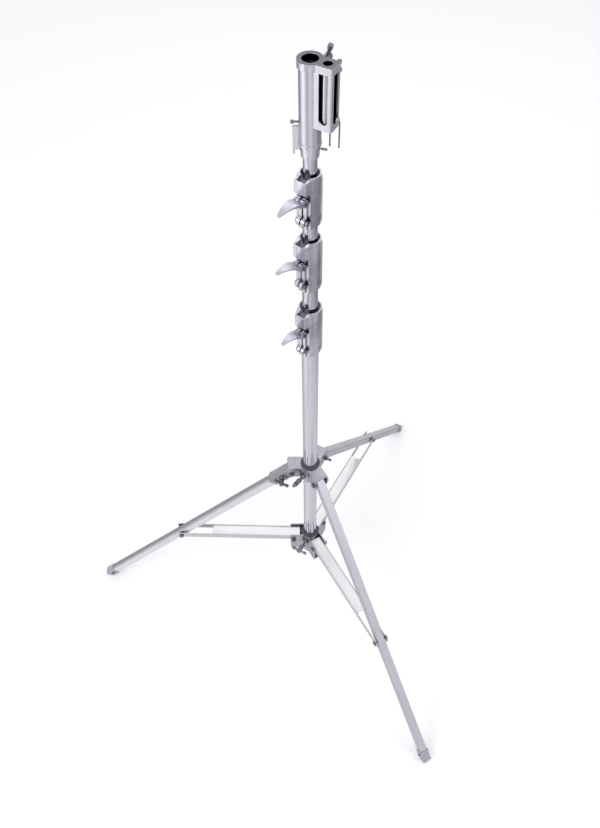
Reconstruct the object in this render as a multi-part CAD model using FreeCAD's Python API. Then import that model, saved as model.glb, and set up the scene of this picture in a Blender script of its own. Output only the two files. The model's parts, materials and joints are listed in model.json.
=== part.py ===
import FreeCAD, Part
import math
import os

# Folding steel lighting stand: a fixed column with three telescoping risers, two leg hubs,
# three square legs with channel braces, and a combined 28.6 mm / 16 mm receiver head.
# Millimetres, +Z up. Origin: on the column's axis, at floor level.

# ---- driving dimensions ----
LEG_AZIMUTHS = {"left": 180.0, "rear": 60.0, "front": -60.0}
FOOT_RADIUS = 750.0            # column axis to the end of a leg
LEG_END_Z = 12.0               # height of the leg tube's end centre
UPPER_PIVOT_R = 55.0
UPPER_PIVOT_Z = 757.0
LOWER_PIVOT_R = 56.0
LOWER_PIVOT_Z = 330.0
BRACE_ALONG_LEG = 558.0        # leg pivot to brace joint, along the leg

SLIDE_GAP = 0.05               # radial clearance of every running fit
BODY_GAP = 0.3                 # distance kept between pieces that pass each other
# Collars: bottom height, top height, lever angle above the horizontal, azimuth of the nose.
LOWER_COLLAR = (1306.0, 1448.0, 27.0, -125.0)
MIDDLE_COLLAR = (1513.0, 1645.0, 27.0, -130.0)
UPPER_COLLAR = (1683.0, 1798.0, 18.0, -123.0)
COLLAR_WALL = 5.8
COLLAR_FOOT_CHAMFER = 2.5
COLLAR_BUSH_LENGTH = 34.0
COLLAR_RIM = 10.0              # open rim above the bush
COLLAR_RIM_WALL = 3.2
TUBE_BELOW_BUSH = 2.0
NOSE_BEYOND_TUBE = 20.5        # from the clamped tube's surface to the nose's end
NOSE_HALF_WIDTH = 12.5
NOSE_CORNER_R = 2.5
NOSE_HEIGHT_SHARE = 0.23
NOSE_WALL = 2.6
NOSE_POCKET_DEPTH = 22.0
NECK_SETBACK = 13.0            # below the nose the flanks stop this far behind its end
THROAT_SETBACK = 9.0
THROAT_HALF_WIDTH = 9.0
SPLIT_HALF_WIDTH = 1.5
LEVER_PIVOT_BEYOND_TUBE = 16.5
LEVER_PIVOT_SHARE = 0.60       # of the collar's height
CLAMP_BOLT_BEYOND_TUBE = 13.6
CLAMP_BOLT_SHARE = 0.19
CLAMP_BOLT_TAIL = 7.5
EAR_R = 8.5
RIB_ANGLE = 112.0              # from the nose to each side rib
RIB_HALF_WIDTH = 4.0
RIB_DEPTH = 1.8
RIVET_ANGLE = 88.0
RIVET_R = 3.2
RIVET_ABOVE_FOOT = 18.0
LEVER_LENGTH = 74.0
LEVER_HUB_R = 7.5
LEVER_ARM_INNER = 9.6
LEVER_ARM_OUTER = 12.6
LEVER_ARM_HALF_HEIGHT = 5.0
LEVER_FORK_DEPTH = 17.0        # pivot to the root of the slot between the arms
LEVER_SHOULDER = 26.0          # pivot to where the blade starts to taper
LEVER_TIP_R = 4.5
LEVER_TIP_THICKNESS = 2.4
LEVER_TIP_DROP = 6.5           # the blade's tip curls down
LEVER_BOW = 7.0
PIN_R = 3.0
PIN_HEAD_R = 4.5
PIN_HEAD_LENGTH = 2.0

# Telescoping tubes: outer radius, wall thickness, bottom end of the tube and its top end.
TUBE_TOP_DROP = COLLAR_RIM + COLLAR_BUSH_LENGTH + TUBE_BELOW_BUSH
COLUMN = (20.5, 2.4, 238.0, LOWER_COLLAR[1] - TUBE_TOP_DROP)
RISER_LOWER = (17.5, 1.5, 262.0, MIDDLE_COLLAR[1] - TUBE_TOP_DROP)
RISER_MIDDLE = (15.5, 1.5, 312.0, UPPER_COLLAR[1] - TUBE_TOP_DROP)
RISER_TOP = (13.5, 1.5, 362.0, 1872.0)
GUIDE_LIP = 12.0
GUIDE_SPIGOT = 28.0
GUIDE_HOLE_R = 5.0

# Legs and braces
LEG_HALF = 12.5
LEG_WALL = 1.5
LEG_CORNER_R = 2.5
LEG_TOP_OVERHANG = 14.0
LEVELLING_OVERHANG = 22.0
PIVOT_BOLT_R = 4.0
CAP_HALF = 14.5
CAP_CORNER_R = 3.0
CAP_OVERLAP = 32.0
CAP_BEYOND = 8.0
CAP_BOLT_BACK = 18.0
CAP_BOLT_R = 2.5
SLEEVE_HALF = 16.5
SLEEVE_CORNER_R = 3.5
SLEEVE_START = -14.0
SLEEVE_END = 84.0
LEVELLING_SCREW_AT = 44.0
BRACE_HALF = 19.0
BRACE_WALL = 2.0
BRACE_TOP = 15.5
BRACE_BOTTOM = -8.5
BRACE_INNER_OVERHANG = 20.5
BRACE_OUTER_OVERHANG = 14.0
BRACE_WEB_CUT = 106.0          # bare forked length at the outer end
BRACE_CORNER_R = 6.0
BRACE_FOLD_R = 2.8

# Hubs
HUB_OUTER_R = 29.0
HUB_BUSH_R = 24.0
UPPER_HUB = (722.0, 790.0)
LOWER_HUB = (244.0, 352.0)
UPPER_CHEEK = (17.0, 20.5)     # inner and outer face of a cheek
LOWER_CHEEK = (19.3, 22.8)
CHEEK_REACH = 67.0
CHEEK_CORNER_R = 7.0            # upper outer corner of a cheek
CHEEK_FOOT_CORNER_R = 12.0      # lower outer corner
CHEEK_START_R = 26.0
HUB_PLATE = 3.5
HUB_PLATE_REACH = 65.0
UPPER_CHEEK_LIFT = 22.0        # the upper hub's barrel reaches this far below its cheeks
LOWER_CHEEK_LIFT = 18.0
LOWER_CHEEK_RISE = 4.0         # the lower hub's cheeks stand this far above its barrel
HUB_SCREW_R = 4.0
HUB_BOSS_R = 8.0
HUB_BOSS_END = 38.0
HUB_HANDLE_LENGTH = 18.0       # start of the handle boss to the bar
HUB_BAR_HALF = 22.0
# Hub T-screws: azimuth, height, radius at which the bar stands, and the bar's tilt once tightened.
UPPER_SCREW = (-130.0, 752.0, 64.0, -22.0)
LOWER_SCREW = (-121.0, 322.0, 72.0, 98.0)
T_BOSS_RATIO = 1.7             # handle boss radius over screw radius
T_BAR_R = 3.6
T_CAP_R = 5.0
T_CAP_LENGTH = 8.0
LEVELLING_HANDLE_START = 24.5
LEVELLING_BAR_AT = 32.0
LEVELLING_BAR_HALF = 21.0

# Head
HEAD_TOP = 2012.0
TOP_PLATE = 12.6
TOP_RING_R = 22.5
SOCKET_R = 20.0
STEP_RING_R = 20.8
FUNNEL_BOTTOM_R = 16.8
FUNNEL_TOP_R = 19.2
JUNIOR_R = 14.3
SOCKET_FLOOR_Z = 1880.0
SOCKET_BASE_Z = 1834.0
FUNNEL_TOP_Z = 1858.0
STEP_RING_TOP_Z = 1864.0
BRACKET_AZIMUTH = -29.0
BRACKET_REACH = 48.0
BRACKET_HALF = 15.0
BRACKET_WALL = 3.0
BRACKET_CORNER_R = 3.0
BRACKET_START = 12.0
BRACKET_BOTTOM_Z = 1900.0
BRACKET_FLOOR = 9.0
BABY_R = 8.0
BABY_TUBE_R = 10.5
BABY_AT = 31.8
WINDOW_HALF = 8.2
WINDOW_BOTTOM_Z = 1911.0
SOCKET_SCREW_Z = 1985.0
SOCKET_BOSS_R = 8.0
SOCKET_BOSS_END = 30.0
SOCKET_BAR_TILT = 16.0
BABY_SCREW_Z = 1982.0
BABY_BOSS_R = 6.5
BABY_BOSS_END = 22.0
BABY_BAR_TILT = 8.0
FIN_REACH = 31.0
FIN_HALF = 3.0
FIN_BOTTOM_Z = 1847.0
FIN_TOP_Z = 1892.0
HOOK_BOTTOM_Z = 1839.0
HOOK_BACK = 26.5
BALL_STUD_Z = 1900.0
BALL_R = 3.6
PEG_Z = 1850.0
PEG_AZIMUTH = -14.0
PEG_R = 2.2
BAIL_AT = 38.0
BAIL_Z = 1904.5
BAIL_WIRE_R = 1.4
BAIL_HALF_SPACING = 9.0
BAIL_DROP = 50.0
BAIL_SHORT_LEG = 0.94
BAIL_SCREW_STAND_OFF = 7.0

AXIS_X = FreeCAD.Vector(1, 0, 0)
AXIS_Y = FreeCAD.Vector(0, 1, 0)
AXIS_Z = FreeCAD.Vector(0, 0, 1)
ORIGIN = FreeCAD.Vector(0, 0, 0)

# ---- worked-out values ----
LEG_RUN = FOOT_RADIUS - UPPER_PIVOT_R
LEG_RISE = UPPER_PIVOT_Z - LEG_END_Z
LEG_LENGTH = math.hypot(LEG_RUN, LEG_RISE)
LEG_PITCH = math.degrees(math.atan2(LEG_RISE, LEG_RUN))
BRACE_END_R = UPPER_PIVOT_R + BRACE_ALONG_LEG * LEG_RUN / LEG_LENGTH
BRACE_END_Z = UPPER_PIVOT_Z - BRACE_ALONG_LEG * LEG_RISE / LEG_LENGTH
BRACE_LENGTH = math.hypot(BRACE_END_R - LOWER_PIVOT_R, BRACE_END_Z - LOWER_PIVOT_Z)
BRACE_PITCH = math.degrees(math.atan2(LOWER_PIVOT_Z - BRACE_END_Z, BRACE_END_R - LOWER_PIVOT_R))


# ---- general shapes ----
def vec(x, y, z):
    return FreeCAD.Vector(x, y, z)


def box(x0, x1, y0, y1, z0, z1):
    return Part.makeBox(x1 - x0, y1 - y0, z1 - z0, vec(x0, y0, z0))


def rod(start, end, radius):
    return Part.makeCylinder(radius, (end - start).Length, start, end - start)


def upright(radius, z0, z1):
    return Part.makeCylinder(radius, z1 - z0, vec(0, 0, z0))


def pipe(r_out, r_in, z0, z1):
    return upright(r_out, z0, z1).cut(upright(r_in, z0 - 1, z1 + 1))


def joined(shapes):
    return shapes[0].multiFuse(shapes[1:]).removeSplitter()


def drilled(shape, tools):
    result = shape
    for tool in tools:
        result = result.cut(tool)
    return result


def turned(shape, azimuth):
    result = shape.copy()
    result.rotate(ORIGIN, AXIS_Z, azimuth)
    return result


def moved(shape, x, y, z):
    result = shape.copy()
    result.translate(vec(x, y, z))
    return result


def cross_rod(x, z, radius, y0, y1):
    """A round rod along Y, from y0 to y1."""
    return rod(vec(x, y0, z), vec(x, y1, z), radius)


def cross_hex(x, z, across_flats, y0, y1):
    """A hexagonal prism along Y: a bolt head or a nut."""
    corner_r = across_flats / math.sqrt(3)
    corners = []
    for i in range(7):
        angle = math.radians(60 * i)
        corners.append(vec(x + corner_r * math.cos(angle), y0, z + corner_r * math.sin(angle)))
    return Part.Face(Part.makePolygon(corners)).extrude(vec(0, y1 - y0, 0))


def cross_bolt(x, z, radius, grip, tail):
    """A hex bolt along Y through a stack that is 2 * grip wide, with its nut: two solids."""
    flats = 3.2 * radius
    head = cross_hex(x, z, flats, -grip - 1.3 * radius, -grip)
    shank = cross_rod(x, z, radius, -grip, grip + tail)
    nut = cross_hex(x, z, flats, grip, grip + 1.6 * radius)
    bore = cross_rod(x, z, radius, grip - 1, grip + 1.6 * radius + 1)
    return [joined([head, shank]), nut.cut(bore)]


def washer(x, z, r_in, r_out, y0, y1):
    return cross_rod(x, z, r_out, y0, y1).cut(cross_rod(x, z, r_in, y0 - 1, y1 + 1))


def mirrored_y(shape):
    return shape.mirror(ORIGIN, AXIS_Y)


def square_bar(x0, x1, half, corner_r):
    """A square bar along X with rounded long edges."""
    bar = box(x0, x1, -half, half, -half, half)
    long_edges = [e for e in bar.Edges if abs(e.tangentAt(e.FirstParameter).x) > 0.99]
    return bar.makeFillet(corner_r, long_edges)


def on_leg(shape, azimuth):
    """Places a shape drawn along +X from the leg's pivot into the standing leg's line."""
    result = shape.copy()
    result.rotate(ORIGIN, AXIS_Y, LEG_PITCH)
    result.translate(vec(UPPER_PIVOT_R, 0, UPPER_PIVOT_Z))
    return turned(result, azimuth)


def on_brace(shape, azimuth):
    """Places a shape drawn along +X from the brace's inner pivot into the brace's line."""
    result = shape.copy()
    result.rotate(ORIGIN, AXIS_Y, BRACE_PITCH)
    result.translate(vec(LOWER_PIVOT_R, 0, LOWER_PIVOT_Z))
    return turned(result, azimuth)


# ---- column and risers ----
def tube(spec):
    radius, wall, z0, z1 = spec
    return pipe(radius, radius - wall, z0, z1)


def guide(spec, outer_spec):
    """The nylon guide on a riser's lower end: a lip that slides in the outer tube, and a spigot."""
    radius, wall, z0, _ = spec
    bore_r = outer_spec[0] - outer_spec[1]
    lip = upright(bore_r - SLIDE_GAP, z0 - GUIDE_LIP, z0)
    spigot = upright(radius - wall, z0, z0 + GUIDE_SPIGOT)
    hole = upright(GUIDE_HOLE_R, z0 - GUIDE_LIP - 1, z0 + GUIDE_SPIGOT + 1)
    return joined([lip, spigot]).cut(hole)


def column_end_plug():
    radius, wall, z0, _ = COLUMN
    lip = upright(radius, z0 - 5, z0)
    spigot = upright(radius - wall, z0, z0 + 10)
    return joined([lip, spigot])


# ---- collars ----
def collar_face(wall_r, nose_x, z):
    """Plan of a collar: a round barrel whose straight flanks run tangent to a blunt nose."""
    corner_r = math.hypot(nose_x, NOSE_HALF_WIDTH)
    corner_angle = math.atan2(NOSE_HALF_WIDTH, nose_x)
    tangent_angle = corner_angle + math.acos(wall_r / corner_r)
    left = vec(wall_r * math.cos(tangent_angle), wall_r * math.sin(tangent_angle), z)
    right = vec(left.x, -left.y, z)
    back = vec(-wall_r, 0, z)
    nose_left = vec(nose_x, NOSE_HALF_WIDTH, z)
    nose_right = vec(nose_x, -NOSE_HALF_WIDTH, z)
    edges = [
        Part.Arc(left, back, right).toShape(),
        Part.LineSegment(right, nose_right).toShape(),
        Part.LineSegment(nose_right, nose_left).toShape(),
        Part.LineSegment(nose_left, left).toShape(),
    ]
    return Part.Face(Part.Wire(edges))


def collar_shell(wall_r, nose_x, z0, nose_z, z1):
    """The collar's outside: a full nose at the top and a shorter neck below it."""
    top = collar_face(wall_r, nose_x, nose_z).extrude(vec(0, 0, z1 - nose_z))
    corners = [e for e in top.Edges if abs(e.tangentAt(e.FirstParameter).z) > 0.99]
    corners = [e for e in corners if e.CenterOfMass.x > nose_x - 1]
    top = top.makeFillet(NOSE_CORNER_R, corners)
    reach = 2 * nose_x
    keep = box(-reach, nose_x - NECK_SETBACK, -reach, reach, z0, nose_z)
    neck = collar_face(wall_r, nose_x, z0).extrude(vec(0, 0, nose_z - z0)).common(keep)
    foot_edges = [e for e in neck.Edges if e.BoundBox.ZMax < z0 + 0.1]
    return [top, neck.makeChamfer(COLLAR_FOOT_CHAMFER, foot_edges)]


def collar_body(spec, outer_r):
    """A cast clamp collar on the tube of radius outer_r, split below its nose."""
    z0, z1, _, azimuth = spec
    height = z1 - z0
    wall_r = outer_r + COLLAR_WALL
    nose_x = outer_r + NOSE_BEYOND_TUBE
    pivot_x = outer_r + LEVER_PIVOT_BEYOND_TUBE
    bolt_x = outer_r + CLAMP_BOLT_BEYOND_TUBE
    pivot_z = lever_pivot_z(spec)
    bolt_z = z0 + CLAMP_BOLT_SHARE * height
    nose_z = z1 - NOSE_HEIGHT_SHARE * height
    half = THROAT_HALF_WIDTH
    pieces = collar_shell(wall_r, nose_x, z0, nose_z, z1)
    pieces.append(box(0, nose_x - THROAT_SETBACK, -half, half, z0 + COLLAR_FOOT_CHAMFER, nose_z + 1))
    for x, z in ((pivot_x, pivot_z), (bolt_x, bolt_z)):
        pieces.append(cross_rod(x, z, EAR_R, -half, half))
    rib_x = math.sqrt(wall_r**2 - RIB_HALF_WIDTH**2) - 1
    for side in (-1, 1):
        rib = box(rib_x, wall_r + RIB_DEPTH, -RIB_HALF_WIDTH, RIB_HALF_WIDTH, z0 + 9, z1 - 5)
        pieces.append(turned(rib, side * RIB_ANGLE))
    pocket_half = NOSE_HALF_WIDTH - NOSE_WALL
    pocket_end = nose_x - NOSE_WALL
    split_end = nose_x + EAR_R
    cuts = [
        upright(outer_r, z0 - 1, z1 - COLLAR_RIM),
        upright(wall_r - COLLAR_RIM_WALL, z1 - COLLAR_RIM, z1 + 1),
        box(0, pocket_end, -pocket_half, pocket_half, z1 - NOSE_POCKET_DEPTH, z1 + 1),
        box(outer_r - 2, split_end, -SPLIT_HALF_WIDTH, SPLIT_HALF_WIDTH, z0 - 1, nose_z - 4),
        cross_rod(pivot_x, pivot_z, PIN_R, -20, 20),
        cross_rod(bolt_x, bolt_z, PIN_R, -20, 20),
    ]
    return turned(drilled(joined(pieces), cuts), azimuth)


def collar_bush(spec, outer_r, inner_r):
    """The nylon guide bush, keyed by a tongue that fills the floor of the nose's pocket."""
    z1 = spec[1]
    top = z1 - COLLAR_RIM
    tongue_half = NOSE_HALF_WIDTH - NOSE_WALL
    tongue_end = outer_r + NOSE_BEYOND_TUBE - NOSE_WALL
    ring = upright(outer_r, top - COLLAR_BUSH_LENGTH, top)
    tongue = box(0, tongue_end, -tongue_half, tongue_half, z1 - NOSE_POCKET_DEPTH, top)
    bore = upright(inner_r + SLIDE_GAP, top - COLLAR_BUSH_LENGTH - 1, top + 1)
    return turned(joined([ring, tongue]).cut(bore), spec[3])


def lever_pivot_z(spec):
    z0, z1 = spec[0], spec[1]
    return z0 + LEVER_PIVOT_SHARE * (z1 - z0)


def collar_pin(spec, outer_r):
    """The lever's pin, with a flat head outside each arm."""
    x = outer_r + LEVER_PIVOT_BEYOND_TUBE
    z = lever_pivot_z(spec)
    arm_face = LEVER_ARM_OUTER + BODY_GAP
    pieces = [cross_rod(x, z, PIN_R, -arm_face, arm_face)]
    for side in (-1, 1):
        head_end = side * (arm_face + PIN_HEAD_LENGTH)
        pieces.append(cross_rod(x, z, PIN_HEAD_R, side * arm_face, head_end))
    return turned(joined(pieces), spec[3])


def collar_fasteners(spec, outer_r):
    """The clamp bolt with its nut, and two rivets that hold the collar on its tube."""
    z0, z1, _, azimuth = spec
    bolt_x = outer_r + CLAMP_BOLT_BEYOND_TUBE
    bolt_z = z0 + CLAMP_BOLT_SHARE * (z1 - z0)
    solids = cross_bolt(bolt_x, bolt_z, PIN_R, THROAT_HALF_WIDTH, CLAMP_BOLT_TAIL)
    wall_r = outer_r + COLLAR_WALL
    for angle in (RIVET_ANGLE, -RIVET_ANGLE):
        dome = Part.makeSphere(RIVET_R, vec(wall_r - RIVET_R / 4, 0, z0 + RIVET_ABOVE_FOOT))
        dome = dome.cut(upright(wall_r, z0, z1))
        solids.append(turned(dome, angle))
    return turned(Part.makeCompound(solids), azimuth)


def lever_blade():
    """The lever's blade along +X: its plan tapers to a round tip and its side bows downwards."""
    half = LEVER_ARM_OUTER
    below = vec(0, 0, -LEVER_LENGTH)
    root = vec(LEVER_FORK_DEPTH - LEVER_ARM_HALF_HEIGHT, half, 0) + below
    shoulder = vec(LEVER_SHOULDER, half, 0) + below
    waist = vec(0.66 * LEVER_LENGTH, 0.76 * half, 0) + below
    cheek = vec(LEVER_LENGTH - LEVER_TIP_R, LEVER_TIP_R, 0) + below
    tip = vec(LEVER_LENGTH, 0, 0) + below
    flipped = [vec(v.x, -v.y, v.z) for v in (root, shoulder, waist, cheek)]
    plan = Part.Wire([
        Part.LineSegment(root, shoulder).toShape(),
        Part.Arc(shoulder, waist, cheek).toShape(),
        Part.Arc(cheek, tip, flipped[3]).toShape(),
        Part.Arc(flipped[3], flipped[2], flipped[1]).toShape(),
        Part.LineSegment(flipped[1], flipped[0]).toShape(),
        Part.LineSegment(flipped[0], root).toShape(),
    ])
    side_y = -2 * half
    thick = LEVER_ARM_HALF_HEIGHT
    tip_top = vec(LEVER_LENGTH + 1, side_y, -LEVER_TIP_DROP)
    tip_bottom = tip_top - vec(0, 0, LEVER_TIP_THICKNESS)
    root_top = vec(root.x, side_y, thick)
    root_bottom = vec(root.x, side_y, -thick)
    middle_top = vec(0.6 * LEVER_LENGTH, side_y, LEVER_BOW - 2)
    middle_bottom = vec(0.6 * LEVER_LENGTH, side_y, LEVER_BOW - 5.5)
    side = Part.Wire([
        Part.Arc(root_top, middle_top, tip_top).toShape(),
        Part.LineSegment(tip_top, tip_bottom).toShape(),
        Part.Arc(tip_bottom, middle_bottom, root_bottom).toShape(),
        Part.LineSegment(root_bottom, root_top).toShape(),
    ])
    plan_prism = Part.Face(plan).extrude(vec(0, 0, 2 * LEVER_LENGTH))
    side_prism = Part.Face(side).extrude(vec(0, 4 * half, 0))
    return plan_prism.common(side_prism)


def collar_lever(spec, outer_r):
    """A forked flip lever: two arms on the pin and a broad blade that tapers to its tip."""
    angle, azimuth = spec[2], spec[3]
    half = LEVER_ARM_HALF_HEIGHT
    pieces = [lever_blade()]
    for side in (-1, 1):
        y0, y1 = sorted((side * LEVER_ARM_INNER, side * LEVER_ARM_OUTER))
        pieces.append(box(0, LEVER_FORK_DEPTH, y0, y1, -half, half))
        pieces.append(cross_rod(0, 0, LEVER_HUB_R, y0, y1))
    slot_end = LEVER_FORK_DEPTH - half
    slot = box(-1, slot_end, -LEVER_ARM_INNER, LEVER_ARM_INNER, -20, 20)
    cuts = [slot, cross_rod(0, 0, PIN_R + SLIDE_GAP, -20, 20)]
    lever = drilled(joined(pieces), cuts)
    lever.rotate(ORIGIN, AXIS_Y, -angle)
    lever = moved(lever, outer_r + LEVER_PIVOT_BEYOND_TUBE, 0, lever_pivot_z(spec))
    return turned(lever, azimuth)


# ---- hubs ----
def corner_edges(cheek, z):
    """The cheek's outer edges across its thickness, at height z."""
    across = [e for e in cheek.Edges if abs(e.tangentAt(e.FirstParameter).y) > 0.99]
    return [e for e in across if e.CenterOfMass.x > CHEEK_START_R and abs(e.CenterOfMass.z - z) < 1]


def clevis(cheek, z0, z1, plate_z0, plate_z1):
    """Two cheeks along +X joined by one plate, as part of a hub."""
    inner, outer = cheek
    pieces = []
    for y0, y1 in ((inner, outer), (-outer, -inner)):
        side = box(CHEEK_START_R - 4, CHEEK_REACH, y0, y1, z0, z1)
        side = side.makeFillet(CHEEK_CORNER_R, corner_edges(side, z1))
        pieces.append(side.makeFillet(CHEEK_FOOT_CORNER_R, corner_edges(side, z0)))
    pieces.append(box(CHEEK_START_R - 4, HUB_PLATE_REACH, -outer, outer, plate_z0, plate_z1))
    return pieces


def hub(z_range, cheek, cheek_z0, cheek_z1, plate_z0, pivot_r, pivot_z, bore_r, screw):
    z0, z1 = z_range
    screw_azimuth, screw_z = screw[0], screw[1]
    pieces = [upright(HUB_OUTER_R, z0, z1)]
    for azimuth in LEG_AZIMUTHS.values():
        for piece in clevis(cheek, cheek_z0, cheek_z1, plate_z0, plate_z0 + HUB_PLATE):
            pieces.append(turned(piece, azimuth))
    boss = rod(vec(HUB_OUTER_R - 5, 0, screw_z), vec(HUB_BOSS_END, 0, screw_z), HUB_BOSS_R)
    pieces.append(turned(boss, screw_azimuth))
    cuts = [upright(bore_r, z0 - 1, z1 + 1)]
    for azimuth in LEG_AZIMUTHS.values():
        cuts.append(turned(cross_rod(pivot_r, pivot_z, PIVOT_BOLT_R, -40, 40), azimuth))
    hole = rod(vec(0, 0, screw_z), vec(HUB_BOSS_END + 1, 0, screw_z), HUB_SCREW_R + SLIDE_GAP)
    cuts.append(turned(hole, screw_azimuth))
    return drilled(joined(pieces), cuts)


def upper_hub():
    z0, z1 = UPPER_HUB
    plate_z0 = z1 - HUB_PLATE
    return hub(UPPER_HUB, UPPER_CHEEK, z0 + UPPER_CHEEK_LIFT, z1, plate_z0, UPPER_PIVOT_R, UPPER_PIVOT_Z,
               HUB_BUSH_R, UPPER_SCREW)


def lower_hub():
    z0, z1 = LOWER_HUB
    foot_z = z0 + LOWER_CHEEK_LIFT
    return hub(LOWER_HUB, LOWER_CHEEK, foot_z, z1 + LOWER_CHEEK_RISE, foot_z, LOWER_PIVOT_R, LOWER_PIVOT_Z,
               COLUMN[0], LOWER_SCREW)


def upper_hub_bush():
    z0, z1 = UPPER_HUB
    return pipe(HUB_BUSH_R, COLUMN[0] + SLIDE_GAP, z0, z1)


def leg_pivot_bolts():
    """Through bolts with washers at the two plain legs, and two shoulder screws at the sleeve."""
    solids = []
    inner, outer = UPPER_CHEEK
    for name, tail in (("rear", 20.0), ("front", 7.0)):
        group = cross_bolt(UPPER_PIVOT_R, UPPER_PIVOT_Z, PIVOT_BOLT_R, outer, tail)
        for side in (-1, 1):
            y0, y1 = sorted((side * (LEG_HALF + BODY_GAP), side * inner))
            group.append(washer(UPPER_PIVOT_R, UPPER_PIVOT_Z, PIVOT_BOLT_R, 9.0, y0, y1))
        azimuth = LEG_AZIMUTHS[name]
        solids += [turned(solid if name == "front" else mirrored_y(solid), azimuth) for solid in group]
    for side in (-1, 1):
        tip = LEG_HALF + 2 * BODY_GAP
        shank = cross_rod(UPPER_PIVOT_R, UPPER_PIVOT_Z, PIVOT_BOLT_R, side * tip, side * outer)
        y0, y1 = sorted((side * outer, side * (outer + 5)))
        head = cross_hex(UPPER_PIVOT_R, UPPER_PIVOT_Z, 13.0, y0, y1)
        solids.append(turned(joined([shank, head]), LEG_AZIMUTHS["left"]))
    return Part.makeCompound(solids)


def brace_pivot_bolts():
    """One through bolt, nut and spacer tube at the inner end of each brace."""
    solids = []
    spacer_half = BRACE_HALF - BRACE_WALL - BODY_GAP
    for azimuth in LEG_AZIMUTHS.values():
        group = cross_bolt(LOWER_PIVOT_R, LOWER_PIVOT_Z, PIVOT_BOLT_R, LOWER_CHEEK[1], 9.0)
        group.append(washer(LOWER_PIVOT_R, LOWER_PIVOT_Z, PIVOT_BOLT_R, 7.0, -spacer_half, spacer_half))
        solids += [turned(solid, azimuth) for solid in group]
    return Part.makeCompound(solids)


def t_screw(tip_x, handle_x0, bar_x, shank_r):
    """A screw along +X with a round handle boss that carries the cross bar."""
    boss_r = T_BOSS_RATIO * shank_r
    shank = rod(vec(tip_x, 0, 0), vec(handle_x0 + 1, 0, 0), shank_r)
    boss = rod(vec(handle_x0, 0, 0), vec(bar_x + boss_r, 0, 0), boss_r)
    return joined([shank, boss])


def t_bar(bar_x, half_length, scale=1.0):
    """The cross bar of a T-handle along Z, with a cap pressed on each end."""
    pieces = [rod(vec(bar_x, 0, -half_length), vec(bar_x, 0, half_length), scale * T_BAR_R)]
    half_cap = scale * T_CAP_LENGTH / 2
    for side in (-1, 1):
        start = vec(bar_x, 0, side * half_length - half_cap)
        end = vec(bar_x, 0, side * half_length + half_cap)
        pieces.append(rod(start, end, scale * T_CAP_R))
    return joined(pieces)


def t_bar_hole(bar_x):
    reach = 2 * T_CAP_R
    return rod(vec(bar_x, 0, -reach), vec(bar_x, 0, reach), T_BAR_R)


def hub_screw(spec, tip_r):
    """The hub's T-screw and its bar, standing in the boss between two legs."""
    azimuth, screw_z, bar_at, bar_tilt = spec
    screw = t_screw(tip_r, bar_at - HUB_HANDLE_LENGTH, bar_at, HUB_SCREW_R).cut(t_bar_hole(bar_at))
    placed = []
    for shape in (screw, t_bar(bar_at, HUB_BAR_HALF)):
        shape.rotate(ORIGIN, AXIS_X, bar_tilt)
        placed.append(turned(moved(shape, 0, 0, screw_z), azimuth))
    return placed


# ---- legs and braces ----
def leg_tube(azimuth, overhang, pivot_hole):
    outer = square_bar(-overhang, LEG_LENGTH, LEG_HALF, LEG_CORNER_R)
    inner = square_bar(-overhang - 1, LEG_LENGTH + 1, LEG_HALF - LEG_WALL, LEG_CORNER_R - LEG_WALL)
    cuts = [inner, cross_rod(LEG_LENGTH - CAP_BOLT_BACK, 0, CAP_BOLT_R, -20, 20)]
    if pivot_hole:
        cuts.append(cross_rod(0, 0, PIVOT_BOLT_R + SLIDE_GAP, -20, 20))
    return on_leg(drilled(outer, cuts), azimuth)


def leg_foot(azimuth):
    """The plastic end cap, ground flat where it stands on the floor."""
    block = square_bar(LEG_LENGTH - CAP_OVERLAP, LEG_LENGTH + CAP_BEYOND, CAP_HALF, CAP_CORNER_R)
    pocket = square_bar(LEG_LENGTH - CAP_OVERLAP - 1, LEG_LENGTH, LEG_HALF, LEG_CORNER_R)
    bolt_hole = cross_rod(LEG_LENGTH - CAP_BOLT_BACK, 0, CAP_BOLT_R, -20, 20)
    cap = on_leg(drilled(block, [pocket, bolt_hole]), azimuth)
    reach = FOOT_RADIUS + 100
    return cap.cut(box(-reach, reach, -reach, reach, -50, 0))


def leg_foot_bolt(azimuth):
    solids = cross_bolt(LEG_LENGTH - CAP_BOLT_BACK, 0, CAP_BOLT_R, CAP_HALF, 5.0)
    return on_leg(Part.makeCompound(solids), azimuth)


def levelling_sleeve(azimuth):
    """The square sleeve that hinges on the hub and lets its leg slide for levelling."""
    hollow_half = LEG_HALF + BODY_GAP
    outer = square_bar(SLEEVE_START, SLEEVE_END, SLEEVE_HALF, SLEEVE_CORNER_R)
    boss = cross_rod(LEVELLING_SCREW_AT, 0, 8.0, SLEEVE_HALF - 1, SLEEVE_HALF + 5)
    hollow = square_bar(SLEEVE_START - 1, SLEEVE_END + 1, hollow_half, LEG_CORNER_R)
    cuts = [
        hollow,
        cross_rod(0, 0, PIVOT_BOLT_R + SLIDE_GAP, -20, 20),
        cross_rod(LEVELLING_SCREW_AT, 0, HUB_SCREW_R + SLIDE_GAP, 0, 30),
    ]
    return on_leg(drilled(joined([outer, boss]), cuts), azimuth)


def levelling_screw(azimuth):
    """The sleeve's T-screw and bar: its axis runs across the leg, on the leg's front side."""
    bar_at = LEVELLING_BAR_AT
    screw = t_screw(LEG_HALF + BODY_GAP, LEVELLING_HANDLE_START, bar_at, HUB_SCREW_R)
    screw = screw.cut(t_bar_hole(bar_at))
    placed = []
    for shape in (screw, t_bar(bar_at, LEVELLING_BAR_HALF)):
        shape.rotate(ORIGIN, AXIS_Z, 90)
        placed.append(on_leg(moved(shape, LEVELLING_SCREW_AT, 0, 0), azimuth))
    return placed


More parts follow.
